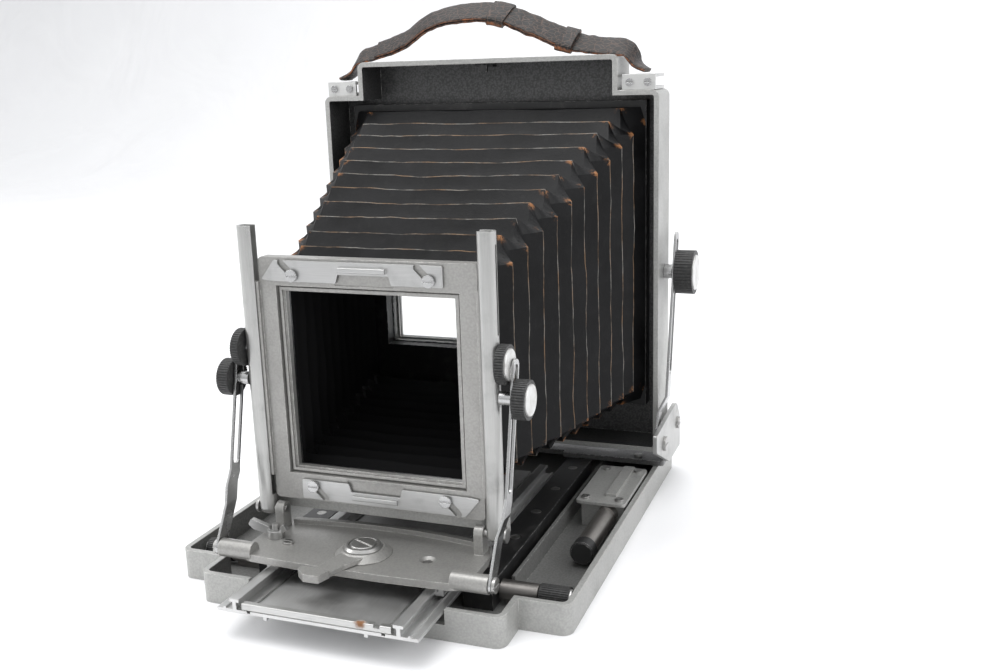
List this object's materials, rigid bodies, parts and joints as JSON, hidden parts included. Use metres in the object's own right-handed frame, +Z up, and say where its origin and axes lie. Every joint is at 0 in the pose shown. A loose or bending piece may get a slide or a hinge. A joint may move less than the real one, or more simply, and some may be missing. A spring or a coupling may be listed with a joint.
{
  "type": "view camera",
  "caption": "Large-format folding field camera: stepped metal tray with a focusing track, tilting front standard, pleated bellows, rear box with a focusing screen, and a carrying strap.",
  "frame": {"origin": "mouth of the tripod socket, in the middle of the tray's underside", "axes": "+Z up, -Y the way the lens looks, +X to the right of a person who faces the lens side"},
  "size_m": [0.4062, 0.455, 0.475],
  "materials": {
    "bare_aluminium": "extruded, worn",
    "bellows_leather": "worn at the folds",
    "black_knob": "knurled",
    "black_metal": "black, semi-gloss",
    "brass_bush": "turned",
    "bright_chrome": "bright",
    "painted_casting": "hammertone, satin",
    "polished_steel": "brushed",
    "screen_glass": "ground",
    "strap_leather": "cracked, worn"
  },
  "bodies": {
    "bed": {"bed_tray": "painted_casting", "tripod_bush": "brass_bush", "rail_right": "black_metal", "rail_left": "black_metal", "bed_screws": "polished_steel", "cross_plate": "painted_casting", "hinge_plate_right": "polished_steel", "hinge_plate_left": "polished_steel", "lock_bracket": "painted_casting", "shaft_bearings": "painted_casting"},
    "lock_rod": {"lock_rod": "bright_chrome", "lock_rod_cap": "black_knob"},
    "track": {"track_bed": "bare_aluminium", "track_end_stop": "bare_aluminium", "racks": "polished_steel"},
    "focus_shaft": {"focus_shaft": "polished_steel", "focus_knob_right": "black_knob", "focus_knob_left": "black_knob"},
    "front_carriage": {"carriage": "bare_aluminium", "pivot_stud": "polished_steel", "pivot_screw": "polished_steel"},
    "front_base": {"base_plate": "painted_casting", "strut_pins": "polished_steel", "wing_stud": "polished_steel"},
    "wing_nut": {"wing_nut": "polished_steel"},
    "lock_lever": {"lock_lever": "painted_casting"},
    "front_uprights": {"upright_right": "painted_casting", "upright_left": "painted_casting", "tilt_pins": "polished_steel", "standard_tie": "painted_casting", "upright_studs": "polished_steel"},
    "rise_knob_right": {"rise_knob_right": "black_knob"},
    "rise_knob_left": {"rise_knob_left": "black_knob"},
    "tilt_knob_right": {"tilt_knob_right": "black_knob"},
    "tilt_knob_left": {"tilt_knob_left": "black_knob"},
    "front_strut_right": {"front_strut_right": "polished_steel"},
    "front_strut_left": {"front_strut_left": "polished_steel"},
    "lens_frame": {"lens_frame": "painted_casting", "clip_screws": "polished_steel", "bellows_front_frame": "black_metal"},
    "clip_top": {"clip_top": "bare_aluminium"},
    "clip_bottom": {"clip_bottom": "bare_aluminium"},
    "rear_box": {"bellows": "bellows_leather", "bellows_rear_frame": "black_metal", "box_shell": "painted_casting", "box_studs": "polished_steel", "box_latch": "black_metal", "handle_lugs": "polished_steel", "lug_screws": "polished_steel", "handle_strap": "strap_leather", "strap_loops": "strap_leather", "back_frame": "painted_casting"},
    "rear_knob_right": {"rear_knob_right": "black_knob"},
    "rear_knob_left": {"rear_knob_left": "black_knob"},
    "rear_strut_right": {"rear_strut_right": "polished_steel"},
    "rear_strut_left": {"rear_strut_left": "polished_steel"},
    "screen": {"screen_frame": "painted_casting", "ground_glass": "screen_glass", "leaf_springs": "polished_steel"}
  },
  "joints": [
    {"name": "focus", "type": "slide", "parent": "bed", "child": "track", "axis": [0, -1, 0], "range_m": [-0.04, 0.1], "deforming": ["bellows"]},
    {"name": "focus_shaft_turn", "type": "hinge", "parent": "bed", "child": "focus_shaft", "pos_m": [0, -0.129, 0.015], "axis": [1, 0, 0], "range_deg": [-470, 1160]},
    {"name": "lock_rod_slide", "type": "slide", "parent": "bed", "child": "lock_rod", "axis": [0, -1, 0], "range_m": [0, 0.015]},
    {"name": "carriage_slide", "type": "slide", "parent": "track", "child": "front_carriage", "axis": [0, 1, 0], "range_m": [-0.03, 0.08], "deforming": ["bellows"]},
    {"name": "base_swing", "type": "hinge", "parent": "front_carriage", "child": "front_base", "pos_m": [0, -0.155, 0.04], "axis": [0, 0, 1], "range_deg": [-12, 12], "deforming": ["bellows"]},
    {"name": "lever_turn", "type": "hinge", "parent": "front_base", "child": "lock_lever", "pos_m": [0, -0.155, 0.045], "axis": [0, 0, 1], "range_deg": [-35, 35]},
    {"name": "wing_nut_turn", "type": "hinge", "parent": "front_base", "child": "wing_nut", "pos_m": [-0.084, -0.148, 0.047], "axis": [0, 0, 1], "range_deg": [-35, 20]},
    {"name": "front_tilt", "type": "hinge", "parent": "front_base", "child": "front_uprights", "pos_m": [0, -0.127, 0.06], "axis": [1, 0, 0], "range_deg": [-12, 12], "deforming": ["bellows"]},
    {"name": "front_rise", "type": "slide", "parent": "front_uprights", "child": "lens_frame", "axis": [0, 0, 1], "range_m": [0, 0.05], "deforming": ["bellows"]},
    {"name": "clip_top_slide", "type": "slide", "parent": "lens_frame", "child": "clip_top", "axis": [0.7071, 0, -0.7071], "range_m": [0, 0.01]},
    {"name": "clip_bottom_slide", "type": "slide", "parent": "lens_frame", "child": "clip_bottom", "axis": [-0.7071, 0, 0.7071], "range_m": [0, 0.01]},
    {"name": "rear_tilt", "type": "hinge", "parent": "bed", "child": "rear_box", "pos_m": [0, 0.168, 0.054], "axis": [1, 0, 0], "range_deg": [-10, 12], "deforming": ["bellows"]},
    {"name": "screen_lift", "type": "slide", "parent": "rear_box", "child": "screen", "axis": [0, 1, 0], "range_m": [0, 0.012], "stiffness_N_per_m": 800, "springref_m": -0.004},
    {"name": "rise_knob_right_turn", "type": "hinge", "parent": "front_uprights", "child": "rise_knob_right", "pos_m": [0.116, -0.127, 0.1985], "axis": [1, 0, 0], "continuous": true},
    {"name": "tilt_knob_right_turn", "type": "hinge", "parent": "front_uprights", "child": "tilt_knob_right", "pos_m": [0.13, -0.127, 0.172], "axis": [1, 0, 0], "continuous": true},
    {"name": "front_strut_right_turn", "type": "hinge", "parent": "front_base", "child": "front_strut_right", "pos_m": [0.119, -0.1784, 0.0435], "axis": [1, 0, 0], "range_deg": [-10, 10]},
    {"name": "rear_knob_right_turn", "type": "hinge", "parent": "rear_box", "child": "rear_knob_right", "pos_m": [0.193, 0.1685, 0.217], "axis": [1, 0, 0], "continuous": true},
    {"name": "rear_strut_right_turn", "type": "hinge", "parent": "bed", "child": "rear_strut_right", "pos_m": [0.175, 0.129, 0.055], "axis": [1, 0, 0], "range_deg": [-10.5, 12.5]},
    {"name": "rise_knob_left_turn", "type": "hinge", "parent": "front_uprights", "child": "rise_knob_left", "pos_m": [-0.116, -0.127, 0.1985], "axis": [1, 0, 0], "continuous": true},
    {"name": "tilt_knob_left_turn", "type": "hinge", "parent": "front_uprights", "child": "tilt_knob_left", "pos_m": [-0.13, -0.127, 0.172], "axis": [1, 0, 0], "continuous": true},
    {"name": "front_strut_left_turn", "type": "hinge", "parent": "front_base", "child": "front_strut_left", "pos_m": [-0.119, -0.1784, 0.0435], "axis": [1, 0, 0], "range_deg": [-10, 10]},
    {"name": "rear_knob_left_turn", "type": "hinge", "parent": "rear_box", "child": "rear_knob_left", "pos_m": [-0.193, 0.1685, 0.217], "axis": [1, 0, 0], "continuous": true},
    {"name": "rear_strut_left_turn", "type": "hinge", "parent": "bed", "child": "rear_strut_left", "pos_m": [-0.175, 0.129, 0.055], "axis": [1, 0, 0], "range_deg": [-10.5, 12.5]}
  ],
  "couplings": [
    {"joint": "focus_shaft_turn", "follows": "focus", "rad_per_m": 200},
    {"joint": "front_strut_right_turn", "follows": "front_tilt", "ratio": 0.7945},
    {"joint": "rear_strut_right_turn", "follows": "rear_tilt", "ratio": 0.9504},
    {"joint": "front_strut_left_turn", "follows": "front_tilt", "ratio": 0.7945},
    {"joint": "rear_strut_left_turn", "follows": "rear_tilt", "ratio": 0.9504}
  ]
}
